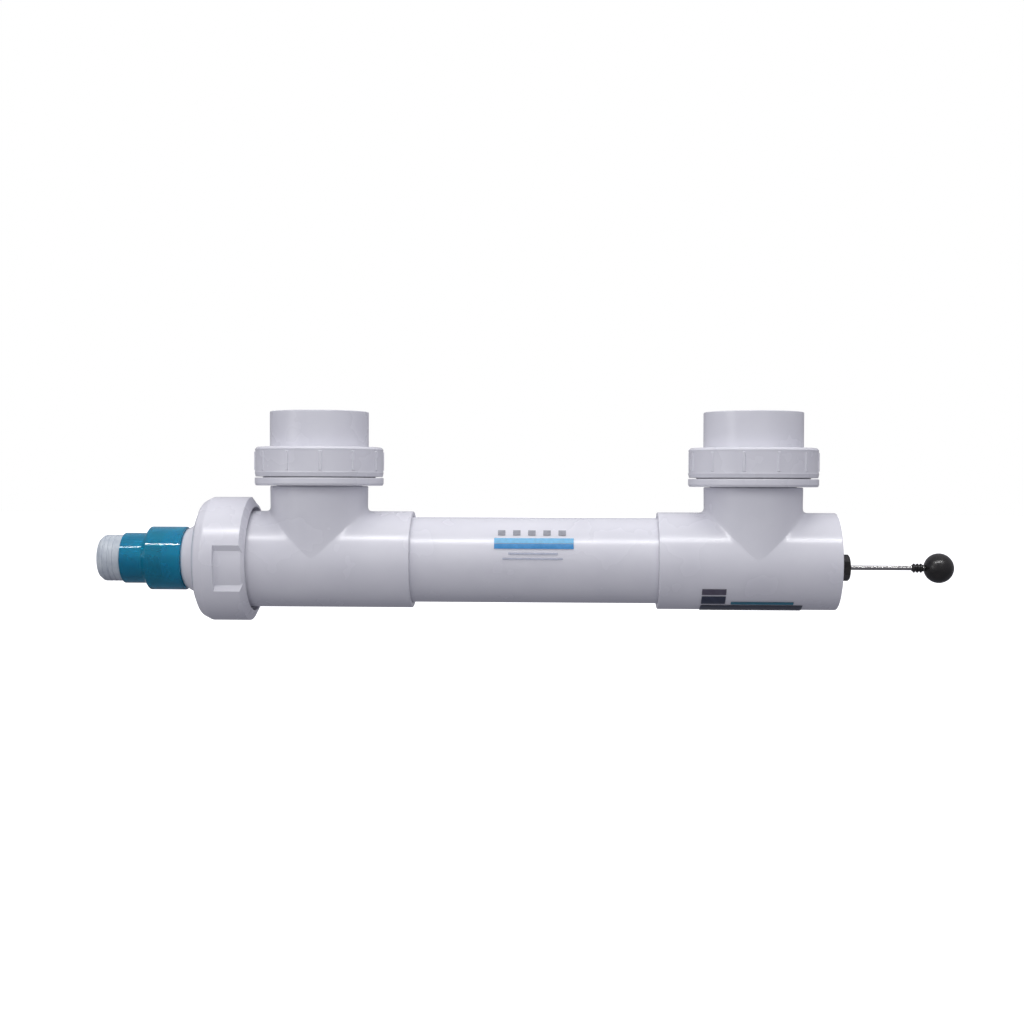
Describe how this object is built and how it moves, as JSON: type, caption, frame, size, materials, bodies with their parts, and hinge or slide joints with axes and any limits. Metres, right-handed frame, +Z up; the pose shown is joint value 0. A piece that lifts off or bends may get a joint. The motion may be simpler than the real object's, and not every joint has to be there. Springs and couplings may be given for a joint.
{
  "type": "uv clarifier",
  "caption": "Inline ultraviolet water clarifier: a white pipe housing with upright union ports, a lamp in a quartz sleeve behind a teal nut, and a pull-rod wiper.",
  "frame": {"origin": "On the housing's axis, midway between the two port axes, where its pipe clamps would hold it.", "axes": "+X runs along the housing from the lamp cap to the wiper's pull knob, +Z is up through the ports, and -Y faces the side with the printed mark."},
  "size_m": [0.5999, 0.0918, 0.1487],
  "materials": {
    "pvc_white": "moulded white PVC, satin gloss",
    "teal_clear": "clear teal moulded plastic",
    "quartz": "fused quartz, polished",
    "lamp_glass": "clear lamp glass",
    "ceramic": "unglazed white ceramic",
    "brass": "turned brass",
    "rubber": "black moulded rubber",
    "black_plastic": "black glossy phenolic and nylon",
    "steel": "drawn stainless steel rod",
    "film": "printed vinyl film"
  },
  "bodies": {
    "housing": {"center_tube": "pvc_white", "inlet_tee": "pvc_white", "outlet_tee": "pvc_white", "end_plug": "pvc_white", "lamp_end_adapter": "pvc_white", "inlet_union_body": "pvc_white", "outlet_union_body": "pvc_white", "inlet_union_seal": "rubber", "outlet_union_seal": "rubber", "housing_seal": "rubber", "gland_packing_1": "rubber", "gland_packing_2": "rubber", "tube_mark": "film", "rating_label": "film"},
    "inlet_tail": {"inlet_tailpiece": "pvc_white"},
    "inlet_nut": {"inlet_union_nut": "pvc_white"},
    "outlet_tail": {"outlet_tailpiece": "pvc_white"},
    "outlet_nut": {"outlet_union_nut": "pvc_white"},
    "lamp_end": {"end_fitting": "pvc_white", "quartz_sleeve": "quartz", "quartz_seal": "rubber"},
    "collar_nut": {"housing_nut": "pvc_white"},
    "sleeve_washer": {"thrust_washer": "black_plastic"},
    "sleeve_nut": {"quartz_nut": "teal_clear"},
    "lamp": {"lamp_cap": "pvc_white", "lamp_tube": "lamp_glass", "lamp_base": "ceramic", "lamp_far_cap": "ceramic", "lamp_pin_1": "brass", "lamp_pin_2": "brass", "lamp_pin_3": "brass", "lamp_pin_4": "brass"},
    "wiper": {"wiper_rod": "steel", "knob_ferrule": "black_plastic", "pull_knob": "black_plastic", "wiper_carriage": "black_plastic", "wiper_ring": "rubber", "rod_nut_outer": "steel", "rod_nut_inner": "steel"},
    "follower": {"gland_follower": "brass"},
    "gland_nut": {"packing_nut": "black_plastic"}
  },
  "joints": [
    {"name": "inlet_union_lift", "type": "slide", "parent": "housing", "child": "inlet_tail", "axis": [0, 0, 1], "range_m": [0, 0.01]},
    {"name": "inlet_union_turn", "type": "hinge", "parent": "inlet_tail", "child": "inlet_nut", "pos_m": [-0.1538, 0, 0.05862], "axis": [0, 0, 1], "range_deg": [0, 900]},
    {"name": "outlet_union_lift", "type": "slide", "parent": "housing", "child": "outlet_tail", "axis": [0, 0, 1], "range_m": [0, 0.01]},
    {"name": "outlet_union_turn", "type": "hinge", "parent": "outlet_tail", "child": "outlet_nut", "pos_m": [0.1538, 0, 0.05862], "axis": [0, 0, 1], "range_deg": [0, 900]},
    {"name": "lamp_end_backs_off", "type": "slide", "parent": "housing", "child": "lamp_end", "axis": [-1, 0, 0], "range_m": [0, 0.014]},
    {"name": "housing_nut_turn", "type": "hinge", "parent": "lamp_end", "child": "collar_nut", "pos_m": [-0.23731, 0, 0], "axis": [-1, 0, 0], "range_deg": [0, 1260]},
    {"name": "washer_backs_off", "type": "slide", "parent": "lamp_end", "child": "sleeve_washer", "axis": [-1, 0, 0], "range_m": [0, 0.012]},
    {"name": "quartz_nut_turn", "type": "hinge", "parent": "sleeve_washer", "child": "sleeve_nut", "pos_m": [-0.27221, 0, 0], "axis": [-1, 0, 0], "range_deg": [0, 1440]},
    {"name": "lamp_withdraw", "type": "slide", "parent": "sleeve_washer", "child": "lamp", "axis": [-1, 0, 0], "range_m": [0, 0.43]},
    {"name": "wiper_stroke", "type": "slide", "parent": "housing", "child": "wiper", "axis": [1, 0, 0], "range_m": [0, 0.37]},
    {"name": "follower_backs_off", "type": "slide", "parent": "housing", "child": "follower", "axis": [1, 0, 0], "range_m": [0, 0.0075]},
    {"name": "packing_nut_turn", "type": "hinge", "parent": "follower", "child": "gland_nut", "pos_m": [0.21171, -0.01943, -0.00313], "axis": [1, 0, 0], "range_deg": [0, 2160.5]}
  ],
  "couplings": [
    {"joint": "inlet_union_lift", "follows": "inlet_union_turn", "m_per_rad": 0.0006366},
    {"joint": "outlet_union_lift", "follows": "outlet_union_turn", "m_per_rad": 0.0006366},
    {"joint": "lamp_end_backs_off", "follows": "housing_nut_turn", "m_per_rad": 0.0006366},
    {"joint": "washer_backs_off", "follows": "quartz_nut_turn", "m_per_rad": 0.00047746},
    {"joint": "packing_nut_turn", "follows": "follower_backs_off", "rad_per_m": 5026.5}
  ]
}
